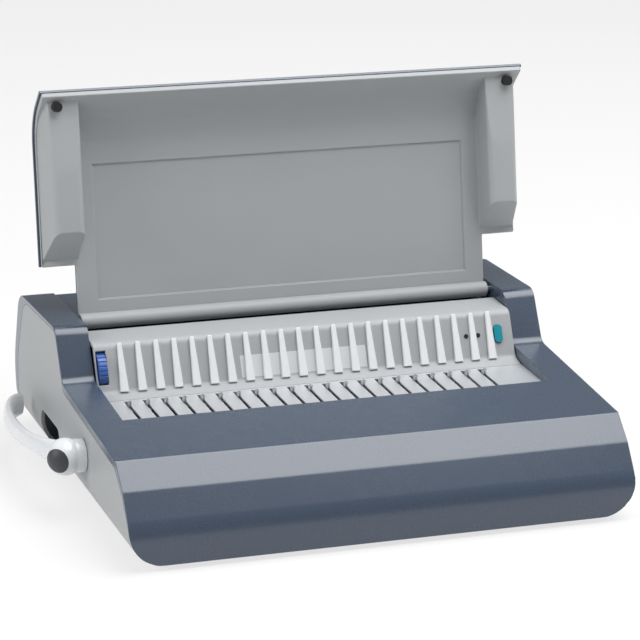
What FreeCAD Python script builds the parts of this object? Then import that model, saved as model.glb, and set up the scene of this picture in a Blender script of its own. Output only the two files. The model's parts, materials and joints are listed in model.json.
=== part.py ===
import FreeCAD, Part
import math
import os
from types import SimpleNamespace

import Sketcher

# A comb binding machine with an electric punch, in millimetres, +Z up, standing on its feet.
# Every size is given from the comb line, which is the middle of the row of finger tips:
# "reach" runs forward from it, "back" runs to the rear, "height" runs up from the table.

SIZES = {
    # Case, as seen from the side and from the front
    "frame_gap": 30,
    "wall": 3,
    "foot_height": 4,
    "side_round": 27,
    "front_reach": 189,
    "front_height": 30,
    "front_round": 30,
    "band_low_reach": 170,
    "band_low_height": 55,
    "band_low_round": 12,
    "band_top_reach": 150.7,
    "band_top_height": 71.7,
    "band_top_round": 4,
    "cheek_foot_reach": 7,
    "cheek_foot_height": 80,
    "cheek_foot_round": 10,
    "cheek_top_back": 15.8,
    "cheek_top_height": 117,
    "cheek_top_round": 12,
    "cheek_width": 25.6,
    "rear_top_back": 124,
    "rear_top_height": 111.6,
    "rear_top_round": 18,
    "rear_reach": 138,
    "rear_reach_height": 52,
    "rear_round": 60,
    "rear_foot_back": 125,
    "rear_foot_round": 12,
    "rear_deck_back": 60,
    "rear_deck_height": 108,
    "cover_seam_back": 18,
    # Side panels, set in from the edge of the covers
    "side_rim": 6,
    "side_front_rim": 3,
    "side_rear_rim": 9,
    "hold_back": 28,
    "hold_length": 53.4,
    "hold_low": 17.5,
    "hold_top": 39.5,
    "hold_round": 7,
    "hold_depth": 22,
    "liner_wall": 1.5,
    # Feet and screws
    "foot_radius": 9,
    "foot_place": 140,
    "front_foot_reach": 150,
    "rear_foot_place": 90,
    "screw_radius": 1.7,
    "screw_head_radius": 3.5,
    "screw_head_height": 2,
    "screw_tip": 1.5,
    "screw_inset": 7,
    "screw_front_reach": 85,
    "screw_middle_back": 20,
    "screw_rear_back": 100,
    # Comb bay: back plate, fingers and tray
    "comb_pitch": 14.2875,
    "finger_count": 22,
    "finger_length": 37.5,
    "finger_foot_width": 6.7,
    "finger_tip_width": 3.3,
    "finger_thickness": 3,
    "finger_lean": 27.2,
    "plate_foot_reach": 15.6,
    "plate_foot_height": 72.4,
    "plate_toe": 11,
    "plate_toe_round": 6,
    "plate_wall": 3,
    "plate_round": 7,
    "shelf_height": 106,
    "shelf_back": 34.2,
    "bay_gap": 0.5,
    "tray_reach": 81.5,
    "tray_height": 70,
    "tray_thickness": 1.5,
    "tray_gap": 0.3,
    "seat_lip": 11,
    "seat_thickness": 2,
    "seat_wall": 3,
    "slot_width": 2.8,
    "slot_reach": 73.5,
    "slot_mouth_width": 5,
    "slot_mouth_length": 8,
    "slot_offset": 3,
    "label_width": 102,
    "label_left": 56,
    "label_low": 2,
    "label_height": 18,
    "label_thickness": 0.8,
    "lens_radius": 1.8,
    "lens_spacing": 10.2,
    "lens_place": 135.6,
    "lens_height": 19.5,
    "lens_stand": 0.4,
    # Punch button
    "button_place": 157.5,
    "button_height": 19.5,
    "button_width": 7,
    "button_length": 14,
    "button_stand": 1.6,
    "button_flange": 1.5,
    "button_flange_thickness": 1.5,
    "button_gap": 0.3,
    "button_travel": 2.5,
    # Edge guide: thumbwheel, lead screw and stop
    "wheel_inset": 5.6,
    "wheel_width": 6.4,
    "wheel_radius": 14,
    "wheel_stand": 4,
    "wheel_height": 19.5,
    "wheel_slot_width": 8,
    "wheel_slot_length": 26,
    "wheel_notches": 24,
    "wheel_notch_radius": 0.8,
    "lead_radius": 3,
    "lead_clear": 0.05,
    "nut_length": 6,
    "nut_radius": 4.5,
    "stop_riser": 4,
    "stop_inset": 14.5,
    "stop_thickness": 2,
    "stop_strap": 1.4,
    "bracket_thickness": 2.5,
    "bracket_span": 26,
    # Frame plates and throat
    "frame_margin": 16,
    "frame_thickness": 3,
    "frame_foot_width": 14,
    "frame_foot_thickness": 2,
    "frame_reach": 100,
    "frame_back": 110,
    "frame_low_height": 66,
    "frame_mid_back": 20,
    "frame_top_height": 101,
    "frame_step_back": 62,
    "frame_rear_height": 78,
    "throat_width": 5,
    "die_thickness": 10,
    "die_low": 58,
    "die_top": 99,
    "stripper_thickness": 8,
    "paper_stop_height": 62,
    "hole_rise": 5.5,
    # Punch
    "ring_count": 21,
    "pin_width": 8,
    "pin_height": 3,
    "pin_clear": 0.05,
    "die_clear": 0.1,
    "pin_setback": 1.5,
    "bar_gap": 18.5,
    "bar_depth": 10,
    "bar_height": 15,
    "bar_drop": 7.5,
    "bar_guide_height": 5,
    "bar_guide_length": 34,
    "slide_gap": 0.1,
    # Gears, shafts and motor
    "tooth_backlash": 0.2,
    "gear_width": 8,
    "rack_back": 3,
    "punch_module": 1,
    "punch_teeth": 20,
    "punch_rack_place": 130,
    "punch_rack_length": 34,
    "drive_back": 94,
    "drive_radius": 5,
    "bearing_radius": 8,
    "bearing_flange_radius": 10.5,
    "bearing_flange": 1.5,
    "shaft_clear": 0.05,
    "drive_module": 0.8,
    "drive_teeth": 36,
    "motor_teeth": 18,
    "drive_gear_place": 20,
    "motor_angle": 51.3,
    "motor_radius": 15.5,
    "motor_length": 60,
    "motor_shaft_radius": 3,
    "gearbox_length": 22,
    "gearbox_front": 12,
    "gearbox_rear": 8,
    "gearbox_half_height": 11,
    "pinion_gap": 3,
    # Lever and hooks
    "lever_reach": 68,
    "lever_height": 46,
    "lever_radius": 5,
    "lever_stand": 32,
    "lever_hub_radius": 12.5,
    "lever_elbow_radius": 14,
    "lever_elbow_out": 14,
    "lever_arm_length": 148,
    "lever_arm_drop": 11,
    "lever_gap": 0.5,
    "lever_hole_radius": 6.5,
    "cap_radius": 9.5,
    "cap_seat": 10.5,
    "cap_angle": 44,
    "hook_module": 1.5,
    "hook_teeth": 20,
    "hook_rack_place": 118,
    "hook_rack_front": 16,
    "hook_rack_rear": 40,
    "hook_bar_reach": 40,
    "hook_bar_depth": 12,
    "hook_bar_thickness": 2,
    "hook_bar_width": 312,
    "hook_thickness": 2,
    "hook_depth": 5,
    "hook_stand": 4.5,
    "hook_nose": 2,
    "guide_width": 10,
    "guide_height": 6,
    "guide_reach": 98,
    # Lid
    "hinge_back": 46.2,
    "hinge_height": 109.6,
    "hinge_pin_radius": 2.5,
    "hinge_pin_depth": 14,
    "hinge_clear": 0.05,
    "barrel_radius": 6,
    "lid_lean": 12,
    "lid_skin": 2.5,
    "lid_out": 8.4,
    "lid_roll_start": 156.5,
    "lid_roll_angle": 52.5,
    "lid_roll_length": 36.8,
    "lid_roll_round": 40,
    "stem_width": 335,
    "stem_height": 43.5,
    "lid_skin_low": 12.5,
    "liner_thickness": 4,
    "liner_recess": 1.5,
    "liner_border": 16,
    "liner_top": 135.5,
    "ear_inner": 165.5,
    "ear_draft": 6,
    "ear_depth": 23.6,
    "ear_round": 5,
    "ear_inset": 1.5,
    "ear_cut": 27,
    "ear_taper_start": 113.5,
    "ear_wall": 2.5,
    "ear_taper": 4,
    "bumper_radius": 3.75,
    "bumper_place": 183,
    "bumper_height": 166,
    "bumper_stand": 5.5,
    "bumper_seat": 3,
    # Waste tray
    "waste_reach": 18,
    "waste_back": 52,
    "waste_low": 34,
    "waste_top": 54,
    "waste_wall": 2,
    "waste_length": 318,
    "waste_gap": 0.5,
    "waste_grip_length": 34,
    "waste_grip_height": 8,
    "runner_width": 3,
    # Mains side
    "inlet_place": 137,
    "inlet_width": 28,
    "inlet_height": 20,
    "inlet_low": 30,
    "inlet_depth": 26,
    "inlet_socket_width": 22,
    "inlet_socket_height": 14,
    "inlet_socket_depth": 16,
    "inlet_blade_width": 2,
    "inlet_blade_height": 4,
    "inlet_blade_spacing": 7,
    "switch_place": 100,
    "switch_width": 18,
    "switch_depth": 18,
    "switch_wall": 2,
    "rocker_gap": 0.4,
    "rocker_pivot_depth": 5,
    "rocker_swing": 1.8,
    "rocker_tilt": 3,
    "mains_face_back": 136,
    "transformer_width": 50,
    "transformer_depth": 38,
    "transformer_height": 36,
    "transformer_place": 90,
    "transformer_back": 94,
    "board_width": 70,
    "board_height": 46,
    "board_thickness": 1.6,
    "board_back": 114,
    "board_place": 28,
    "relay_size": 14,
    "relay_gap": 3,
    "capacitor_radius": 6,
    "capacitor_length": 16,
    "switch_block_width": 10,
}

doc = FreeCAD.newDocument("comb_binding_machine")
sheet = doc.addObject("Spreadsheet::Sheet", "Sizes")
for number, (alias, amount) in enumerate(SIZES.items(), start=1):
    sheet.set(f"A{number}", alias)
    sheet.set(f"B{number}", str(amount))
    sheet.setAlias(f"B{number}", alias)
doc.recompute()


class Size:
    """A number with the sheet expression that gives it, so that sums of sizes stay bound to the sheet."""

    def __init__(self, text, value):
        self.text = text
        self.value = value

    def __add__(self, other):
        other = as_size(other)
        return Size(f"({self.text} + {other.text})", self.value + other.value)

    def __sub__(self, other):
        other = as_size(other)
        return Size(f"({self.text} - {other.text})", self.value - other.value)

    def __mul__(self, other):
        other = as_size(other)
        return Size(f"({self.text} * {other.text})", self.value * other.value)

    def __truediv__(self, other):
        other = as_size(other)
        return Size(f"({self.text} / {other.text})", self.value / other.value)

    def __neg__(self):
        return Size(f"(0 - {self.text})", -self.value)

    def __radd__(self, other):
        return as_size(other) + self

    def __rsub__(self, other):
        return as_size(other) - self

    def __rmul__(self, other):
        return as_size(other) * self


def as_size(number):
    return number if isinstance(number, Size) else Size(f"({number})", number)


def sine(angle):
    return Size(f"sin({angle.text} * 1 deg)", math.sin(math.radians(angle.value)))


def cosine(angle):
    return Size(f"cos({angle.text} * 1 deg)", math.cos(math.radians(angle.value)))


def tangent(angle):
    return Size(f"tan({angle.text} * 1 deg)", math.tan(math.radians(angle.value)))


s = SimpleNamespace(**{alias: Size(f"Sizes.{alias}", amount) for alias, amount in SIZES.items()})


def bind(item, prop, size):
    item.setExpression(prop, as_size(size).text)


class Frame:
    """A place to build in: an origin from the machine's base, and a lean to the rear about X."""

    def __init__(self, x, y, z, lean=None):
        self.origin = (x, y, z)
        self.lean = lean

    def hold(self, item):
        if self.lean is not None:
            item.Placement.Rotation = FreeCAD.Rotation(FreeCAD.Vector(1, 0, 0), -self.lean.value)
            bind(item, "Placement.Rotation.Angle", -self.lean)
        for axis, size in zip("xyz", self.origin):
            bind(item, f"Placement.Base.{axis}", size)


# The origin is the middle of the machine's footprint, lever included, so the comb line lies off it.
middle_x = s.lever_stand / 2
comb_y = (s.front_reach - s.rear_reach) / 2
BODY = Frame(middle_x, comb_y, as_size(0))
PLATE = Frame(middle_x, comb_y - s.plate_foot_reach, s.plate_foot_height, s.finger_lean)
LID = Frame(middle_x, comb_y + s.hinge_back, s.hinge_height, s.lid_lean)

# Sketch axes of each origin plane, and the one whose normal runs against its axis
PLANES = {"XY_Plane": "xy", "XZ_Plane": "xz", "YZ_Plane": "yz"}
FLIPPED = "XZ_Plane"


def rectangle(low_u, high_u, low_v, high_v):
    return [(low_u, low_v), (high_u, low_v), (high_u, high_v), (low_u, high_v)]


def circle(u, v, radius):
    return SimpleNamespace(u=as_size(u), v=as_size(v), radius=radius)


class Piece:
    """A PartDesign body built by pads and pockets between two levels of its own frame."""

    def __init__(self, name, frame=BODY):
        self.name = name
        self.body = doc.addObject("PartDesign::Body", name)
        frame.hold(self.body)
        self.last = None

    def origin(self, role):
        return next(item for item in self.body.Origin.OriginFeatures if item.Role == role)

    def sketch(self, plane, shape, level):
        sketch = self.body.newObject("Sketcher::SketchObject", self.name + "_sketch")
        sketch.AttachmentSupport = (self.origin(plane), [""])
        sketch.MapMode = "FlatFace"
        bind(sketch, ".AttachmentOffset.Base.z", -level if plane == FLIPPED else level)
        if isinstance(shape, list):
            self.draw_corners(sketch, [(as_size(u), as_size(v)) for u, v in shape])
        else:
            self.draw_circle(sketch, shape)
        return sketch

    def draw_corners(self, sketch, corners):
        points = [FreeCAD.Vector(u.value, v.value, 0) for u, v in corners]
        count = len(points)
        for index in range(count):
            sketch.addGeometry(Part.LineSegment(points[index], points[(index + 1) % count]))
        for index in range(count):
            sketch.addConstraint(Sketcher.Constraint("Coincident", index, 2, (index + 1) % count, 1))
        for index, (u, v) in enumerate(corners):
            self.measure(sketch, "DistanceX", index, 1, u)
            self.measure(sketch, "DistanceY", index, 1, v)

    def draw_circle(self, sketch, shape):
        centre = FreeCAD.Vector(shape.u.value, shape.v.value, 0)
        sketch.addGeometry(Part.Circle(centre, FreeCAD.Vector(0, 0, 1), shape.radius.value))
        self.measure(sketch, "DistanceX", 0, 3, shape.u)
        self.measure(sketch, "DistanceY", 0, 3, shape.v)
        radius = sketch.addConstraint(Sketcher.Constraint("Radius", 0, shape.radius.value))
        sketch.setExpression(f"Constraints[{radius}]", shape.radius.text)

    def measure(self, sketch, kind, index, point, size):
        place = sketch.addConstraint(Sketcher.Constraint(kind, index, point, size.value))
        sketch.setExpression(f"Constraints[{place}]", size.text)

    def pad(self, plane, shape, low, high):
        low, high = as_size(low), as_size(high)
        feature = self.body.newObject("PartDesign::Pad", self.name + "_pad")
        feature.Profile = self.sketch(plane, shape, high if plane == FLIPPED else low)
        bind(feature, "Length", high - low)
        return self.settle(feature)

    def pocket(self, plane, shape, low, high):
        low, high = as_size(low), as_size(high)
        volume = self.body.Shape.Volume
        feature = self.body.newObject("PartDesign::Pocket", self.name + "_pocket")
        feature.Profile = self.sketch(plane, shape, low if plane == FLIPPED else high)
        bind(feature, "Length", high - low)
        self.settle(feature)
        if self.body.Shape.Volume >= volume:
            raise RuntimeError(f"a pocket of {self.name} cuts nothing")
        return self

    def row(self, count, pitch):
        feature = self.body.newObject("PartDesign::LinearPattern", self.name + "_row")
        feature.Originals = [self.last]
        feature.Direction = (self.origin("X_Axis"), [""])
        feature.Mode = "Spacing"
        bind(feature, "Offset", pitch)
        bind(feature, "Occurrences", count)
        return self.settle(feature)

    def round(self, plane, corners, radius):
        first, second = PLANES[plane]
        corners = [(as_size(u).value, as_size(v).value) for u, v in corners]
        picks = []
        for number, edge in enumerate(self.last.Shape.Edges, start=1):
            ends = [(getattr(vertex.Point, first), getattr(vertex.Point, second)) for vertex in edge.Vertexes]
            for u, v in corners:
                if len(ends) == 2 and all(abs(end_u - u) + abs(end_v - v) < 1e-3 for end_u, end_v in ends):
                    picks.append(f"Edge{number}")
        feature = self.body.newObject("PartDesign::Fillet", self.name + "_round")
        feature.Base = (self.last, picks)
        bind(feature, "Radius", radius)
        return self.settle(feature)

    def settle(self, feature):
        self.body.Tip = feature
        self.last = feature
        doc.recompute()
        return self


def box(name, x, y, z):
    item = doc.addObject("Part::Box", name)
    for prop, axis, start, (low, high) in zip(("Length", "Width", "Height"), "xyz", BODY.origin, (x, y, z)):
        bind(item, prop, as_size(high) - low)
        bind(item, f"Placement.Base.{axis}", start + low)
    return item


def rod(name, y, z, radius, low, high):
    """A cylinder along X."""
    item = doc.addObject("Part::Cylinder", name)
    item.Placement.Rotation = FreeCAD.Rotation(FreeCAD.Vector(0, 1, 0), 90)
    bind(item, "Radius", radius)
    bind(item, "Height", as_size(high) - low)
    for axis, start, offset in zip("xyz", BODY.origin, (low, y, z)):
        bind(item, f"Placement.Base.{axis}", start + offset)
    return item


def post(name, x, y, radius, low, high):
    """A cylinder along Z."""
    item = doc.addObject("Part::Cylinder", name)
    bind(item, "Radius", radius)
    bind(item, "Height", as_size(high) - low)
    for axis, start, offset in zip("xyz", BODY.origin, (x, y, low)):
        bind(item, f"Placement.Base.{axis}", start + offset)
    return item


def solid(item):
    return item.body if isinstance(item, Piece) else item


def join(kind, prop, name, items):
    result = doc.addObject(kind, name)
    setattr(result, prop, [solid(item) for item in items])
    return result


def fuse(name, *items):
    return join("Part::MultiFuse", "Shapes", name, items)


def common(name, *items):
    return join("Part::MultiCommon", "Shapes", name, items)


def group(name, *items):
    return join("Part::Compound", "Links", name, items)


def cut(name, base, *tools):
    result = doc.addObject("Part::Cut", name)
    result.Base = solid(base)
    result.Tool = solid(tools[0]) if len(tools) == 1 else fuse(name + "_tools", *tools)
    return result


def shaped(name, shape, frame=BODY):
    """A solid given by its own shape, for forms that no other feature makes."""
    item = doc.addObject("Part::Feature", name)
    item.Shape = shape
    frame.hold(item)
    return item


PARTS = []


def keep(item):
    """Lists a finished sub-part, to be written under its label."""
    item = solid(item)
    doc.recompute()
    PARTS.append(item)
    return item


# Places that several pieces share
first_finger = -(s.finger_count - 1) * s.comb_pitch / 2
frame_half = s.frame_margin - first_finger
frame_inner = frame_half - s.frame_thickness
half_body = frame_half + s.frame_gap
bay_half = half_body - s.cheek_width
floor_top = s.foot_height + s.wall
throat_front = s.shelf_back + s.tray_gap
throat_rear = throat_front + s.throat_width
die_front = throat_front - s.die_thickness
stripper_rear = throat_rear + s.stripper_thickness
hole_height = s.paper_stop_height + s.hole_rise
bar_front = stripper_rear + s.bar_gap
bar_rear = bar_front + s.bar_depth
bar_low = hole_height - s.bar_drop
bar_top = bar_low + s.bar_height
punch_pitch_radius = s.punch_module * s.punch_teeth / 2
punch_pitch_height = hole_height - s.bar_drop + s.rack_back
drive_height = punch_pitch_height - punch_pitch_radius
gear_centres = s.drive_module * (s.drive_teeth + s.motor_teeth) / 2
motor_back = s.drive_back + gear_centres * cosine(s.motor_angle)
motor_height = drive_height - gear_centres * sine(s.motor_angle)
hook_pitch_height = s.lever_height + s.hook_module * s.hook_teeth / 2
hook_rack_top = hook_pitch_height + 1.25 * s.hook_module + s.rack_back
first_ring = -(s.ring_count - 1) * s.comb_pitch / 2
first_slot = first_finger - s.slot_offset
tray_back = s.plate_foot_reach + s.plate_toe + s.tray_gap
tray_half = bay_half - s.tray_gap
wheel_x = s.wheel_inset - bay_half
tray_low = s.tray_height - s.tray_thickness


# Case: one hull is hollowed, then parted into covers, side panels and base pan

hull_corners = [
    (-s.front_reach, s.foot_height),
    (-s.front_reach, s.front_height),
    (-s.band_low_reach, s.band_low_height),
    (-s.band_top_reach, s.band_top_height),
    (-s.cheek_foot_reach, s.cheek_foot_height),
    (s.cheek_top_back, s.cheek_top_height),
    (s.rear_top_back, s.rear_top_height),
    (s.rear_reach, s.rear_reach_height),
    (s.rear_foot_back, s.foot_height),
]
hull_rounds = [
    s.front_round,
    s.band_low_round,
    s.band_top_round,
    s.cheek_foot_round,
    s.cheek_top_round,
    s.rear_top_round,
    s.rear_round,
    s.rear_foot_round,
]
ABOVE = s.cheek_top_height + s.cheek_width

hull_profile = Piece("hull_profile").pad("YZ_Plane", hull_corners, -half_body, half_body)
for corner, radius in zip(hull_corners[1:], hull_rounds):
    hull_profile.round("YZ_Plane", [corner], radius)

hull_section = Piece("hull_section")
hull_section.pad(
    "XZ_Plane",
    rectangle(-half_body, half_body, s.foot_height, ABOVE),
    -s.front_reach - s.wall,
    s.rear_reach + s.wall,
)
lower_edges = [(-half_body, s.foot_height), (half_body, s.foot_height)]
hull_section.round("XZ_Plane", lower_edges, s.side_round)

hull = common("hull", hull_profile, hull_section)
hull_inside = doc.addObject("Part::Offset", "hull_inside")
hull_inside.Source = hull
bind(hull_inside, "Value", -s.wall)
hull_shell = cut("hull_shell", hull, hull_inside)

bay_tool = box(
    "bay_tool",
    (-bay_half, bay_half),
    (-s.cheek_foot_reach - s.seat_wall, s.rear_deck_back),
    (tray_low - s.seat_thickness, ABOVE),
)
rear_deck_tool = box(
    "rear_deck_tool",
    (-bay_half, bay_half),
    (s.rear_deck_back, s.rear_reach + s.wall),
    (s.rear_deck_height, ABOVE),
)
tray_tool = box(
    "tray_tool",
    (-bay_half, bay_half),
    (-s.tray_reach - s.tray_gap, 0),
    (tray_low, ABOVE),
)

panel_corners = [
    (-s.front_reach + s.side_front_rim, 0),
    (-s.front_reach + s.side_front_rim, s.front_height),
    (-s.band_low_reach + s.side_front_rim, s.band_low_height - s.side_front_rim),
    (-s.band_top_reach + s.side_front_rim, s.band_top_height - s.side_rim),
    (-s.cheek_foot_reach, s.cheek_foot_height - s.side_rim),
    (s.cheek_top_back, s.cheek_top_height - s.side_front_rim),
    (s.rear_top_back - s.side_rear_rim - s.side_rim, s.rear_top_height - s.side_front_rim),
    (s.rear_reach - s.side_rear_rim, s.rear_reach_height),
    (s.rear_foot_back - s.side_rear_rim, s.foot_height),
    (s.rear_foot_back - s.side_rear_rim, 0),
]
BESIDE = half_body + s.wall
panel_rounds = {4: s.cheek_foot_round, 5: s.cheek_top_round, 6: s.rear_top_round, 7: s.rear_round}


def panel_tool(name, low, high):
    """The outline of a side panel, as deep as the wall it is cut from."""
    tool = Piece(name).pad("YZ_Plane", panel_corners, low, high)
    for index, radius in panel_rounds.items():
        tool.round("YZ_Plane", [panel_corners[index]], radius)
    return tool


def corner_tool(name, low, high):
    """The rounded lower edge that a side panel takes in."""
    reach = (-s.front_reach + s.side_front_rim, s.rear_foot_back - s.side_rear_rim)
    return box(name, (low, high), reach, (0, s.foot_height + s.side_round))


panel_depth = half_body - s.wall
corner_depth = half_body - s.side_round
left_zone = fuse(
    "left_zone",
    panel_tool("left_panel_tool", -BESIDE, -panel_depth),
    corner_tool("left_corner_tool", -BESIDE, -corner_depth),
)
right_zone = fuse(
    "right_zone",
    panel_tool("right_panel_tool", panel_depth, BESIDE),
    corner_tool("right_corner_tool", corner_depth, BESIDE),
)
base_zone = box(
    "base_zone",
    (-corner_depth, corner_depth),
    (-s.front_reach + s.side_front_rim, s.rear_foot_back - s.side_rear_rim),
    (0, floor_top),
)

front_zone = box("front_zone", (-BESIDE, BESIDE), (-s.front_reach - s.wall, s.cover_seam_back), (0, ABOVE))
rear_zone = box("rear_zone", (-BESIDE, BESIDE), (s.cover_seam_back, s.rear_reach + s.wall), (0, ABOVE))


def cheek_walls(name, low, high):
    """The inner walls of both cheeks, beside the comb bay and the lid's stem."""
    sides = []
    for x in ((-bay_half - s.wall, -bay_half), (bay_half, bay_half + s.wall)):
        sides.append(box(f"{name}_{len(sides)}", x, (low, high), (tray_low, ABOVE)))
    return common(name, hull, fuse(name + "_pair", *sides))


def front_cover():
    """Deck, nose, front and cheek fronts, with the sunk seat that the comb tray lies in."""
    seat_reach = s.tray_reach + s.seat_wall
    deck_rise = (s.cheek_foot_height - s.band_top_height) / (s.band_top_reach - s.cheek_foot_reach)
    seat_top = s.cheek_foot_height - s.wall / 2
    seat = Piece("tray_seat").pad(
        "YZ_Plane",
        [
            (-seat_reach, tray_low - s.seat_thickness),
            (-s.cheek_foot_reach, tray_low - s.seat_thickness),
            (-s.cheek_foot_reach, seat_top),
            (-seat_reach, seat_top - deck_rise * (seat_reach - s.cheek_foot_reach)),
        ],
        -bay_half - s.wall,
        bay_half + s.wall,
    )
    seat_window = box(
        "seat_window",
        (-tray_half + s.seat_lip, tray_half - s.seat_lip),
        (-s.tray_reach + s.seat_lip / 2, 0),
        (0, ABOVE),
    )
    half = common("front_half", hull_shell, front_zone)
    opened = cut("front_opened", half, bay_tool, left_zone, right_zone, base_zone)
    walls = cheek_walls("front_walls", -s.cheek_foot_reach - s.wall, s.cover_seam_back)
    whole = fuse("front_whole", opened, seat, walls)
    keep(cut("front_cover", whole, tray_tool, seat_window))


def rear_cover():
    """Cheek tops, rear deck behind the lid and the rear wall, with the cut-outs of inlet and switch."""
    half = common("rear_half", hull_shell, rear_zone)
    opened = cut("rear_opened", half, bay_tool, rear_deck_tool, left_zone, right_zone, base_zone)
    deck = common(
        "rear_deck",
        hull,
        box(
            "rear_deck_plate",
            (-bay_half, bay_half),
            (s.rear_deck_back, s.rear_reach),
            (s.rear_deck_height - s.wall, s.rear_deck_height),
        ),
    )
    walls = cheek_walls("rear_walls", s.cover_seam_back, s.rear_top_back)
    whole = fuse("rear_whole", opened, deck, walls)
    through = (s.rear_deck_back, s.rear_reach + s.wall)
    inlet = box("inlet_hole", inlet_x(s.tray_gap), through, inlet_z(s.tray_gap))
    switch = box("switch_hole", switch_x(s.tray_gap), through, inlet_z(s.tray_gap))
    pin_reach = bay_half + s.wall * 2
    pins = rod("hinge_pin_tool", s.hinge_back, s.hinge_height, s.hinge_pin_radius, -pin_reach, pin_reach)
    keep(cut("rear_cover", whole, inlet, switch, pins))


def inlet_x(gap):
    return (-s.inlet_place - s.inlet_width / 2 - gap, -s.inlet_place + s.inlet_width / 2 + gap)


def inlet_z(gap):
    return (s.inlet_low - gap, s.inlet_low + s.inlet_height + gap)


def switch_x(gap):
    return (-s.switch_place - s.switch_width / 2 - gap, -s.switch_place + s.switch_width / 2 + gap)


def hold_outline(gap):
    low, high = s.hold_back - s.hold_length / 2 - gap, s.hold_back + s.hold_length / 2 + gap
    return rectangle(low, high, s.hold_low - gap, s.hold_top + gap)


def hold_tool(name, gap, depth):
    outline = hold_outline(gap)
    tool = Piece(name).pad("YZ_Plane", outline, -BESIDE, -half_body + depth)
    return tool.round("YZ_Plane", outline, s.hold_round)


def side_panels():
    left = common("left_panel", hull_shell, left_zone)
    shaft = rod("lever_hole", -s.lever_reach, s.lever_height, s.lever_hole_radius, -BESIDE, -bay_half)
    keep(cut("left_side_panel", left, shaft, hold_tool("hold_hole", as_size(0), s.side_round)))
    right = common("right_panel", hull_shell, right_zone)
    drawer = box(
        "drawer_hole",
        (bay_half, BESIDE),
        (-s.waste_reach - s.waste_gap, s.waste_back + s.waste_gap),
        (s.waste_low - s.waste_gap, s.waste_top + s.waste_gap),
    )
    keep(cut("right_side_panel", right, drawer))


def hand_hold_liner():
    """A dark pocket behind the hole in the left panel, for lifting the machine."""
    outer = common("hold_body", hold_tool("hold_outer", s.liner_wall, s.hold_depth), hull)
    panel = common("hold_panel", hull_shell, left_zone)
    pocket = hold_tool("hold_inner", as_size(0), s.hold_depth - s.liner_wall)
    keep(cut("hand_hold_liner", outer, pocket, panel))


def base_pan():
    pan = Piece("base_pan").pad(
        "XY_Plane",
        rectangle(
            -corner_depth,
            corner_depth,
            -s.front_reach + s.side_front_rim,
            s.rear_foot_back - s.side_rear_rim,
        ),
        s.foot_height,
        floor_top,
    )
    for x, y in screw_places():
        pan.pocket("XY_Plane", circle(x, y, s.screw_radius), s.foot_height, floor_top)
    keep(pan)


def screw_places():
    rows = (-s.screw_front_reach, s.screw_middle_back, s.screw_rear_back)
    side = frame_inner - s.screw_inset
    return [(x, y) for x in (-side, side) for y in rows]


def case_screws():
    """Screws from below that hold the feet of the frame plates to the base pan."""
    screws = []
    head_low = s.foot_height - s.screw_head_height
    tip = floor_top + s.frame_foot_thickness + s.screw_tip
    for number, (x, y) in enumerate(screw_places()):
        head = post(f"screw_head_{number}", x, y, s.screw_head_radius, head_low, s.foot_height)
        shank = post(f"screw_shank_{number}", x, y, s.screw_radius, s.foot_height, tip)
        screws.append(fuse(f"screw_{number}", head, shank))
    keep(group("case_screws", *screws))


def rubber_feet():
    feet = []
    for x in (-s.foot_place, s.foot_place):
        for y in (-s.front_foot_reach, s.rear_foot_place):
            feet.append(post(f"foot_{len(feet)}", x, y, s.foot_radius, 0, s.foot_height))
    keep(group("rubber_feet", *feet))


# Comb bay

plate_top_reach = (s.shelf_height - s.plate_foot_height) * tangent(s.finger_lean) - s.plate_foot_reach
plate_half = bay_half - s.bay_gap


def leaning(y, z):
    """The place in the machine of a point given in the plate's own leaning frame."""
    back = y * cosine(s.finger_lean) + z * sine(s.finger_lean) - s.plate_foot_reach
    up = s.plate_foot_height - y * sine(s.finger_lean) + z * cosine(s.finger_lean)
    return back, up


def comb_back_plate():
    """A leaning face with a toe below and a shelf above, pierced for wheel, button, lenses and label."""
    back_shift = s.plate_wall / cosine(s.finger_lean)
    lean = tangent(s.finger_lean)
    toe_low = tray_low
    shelf_low = s.shelf_height - s.plate_wall
    corners = [
        (-s.plate_foot_reach - s.plate_toe, toe_low),
        (-s.plate_foot_reach - s.plate_toe, s.tray_height + s.tray_gap),
        (-s.plate_foot_reach, s.plate_foot_height),
        (plate_top_reach, s.shelf_height),
        (s.shelf_back, s.shelf_height),
        (s.shelf_back, shelf_low),
        (-s.plate_foot_reach + back_shift + (shelf_low - s.plate_foot_height) * lean, shelf_low),
        (-s.plate_foot_reach + back_shift + (toe_low - s.plate_foot_height) * lean, toe_low),
    ]
    plate = Piece("plate_blank").pad("YZ_Plane", corners, -plate_half, plate_half)
    plate.round("YZ_Plane", [corners[2]], s.plate_toe_round)
    plate.round("YZ_Plane", [corners[3]], s.plate_round)
    wheel_slot = Piece("wheel_slot", PLATE).pad(
        "XZ_Plane",
        rectangle(
            wheel_x - s.wheel_slot_width / 2,
            wheel_x + s.wheel_slot_width / 2,
            s.wheel_height - s.wheel_slot_length / 2,
            s.wheel_height + s.wheel_slot_length / 2,
        ),
        -s.plate_wall,
        s.plate_wall * 2,
    )
    label = label_piece("label_tool")
    lenses = lens_pieces("lens_tool", as_size(0))
    button = button_outline("button_tool", s.button_gap, -s.plate_wall, s.plate_wall * 2)
    keep(cut("comb_back_plate", plate, wheel_slot, label, lenses, button))
    keep(cut("comb_fingers", comb_fingers(), plate))


def label_piece(name):
    right = s.label_width - s.label_left
    outline = rectangle(-s.label_left, right, s.label_low, s.label_low + s.label_height)
    return Piece(name, PLATE).pad("XZ_Plane", outline, 0, s.label_thickness)


def lens_pieces(name, stand):
    lenses = []
    for side in (-1, 1):
        shape = circle(s.lens_place + side * s.lens_spacing / 2, s.lens_height, s.lens_radius)
        lenses.append(Piece(f"{name}_{len(lenses)}", PLATE).pad("XZ_Plane", shape, -stand, s.plate_wall))
    return group(name, *lenses)


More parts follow.
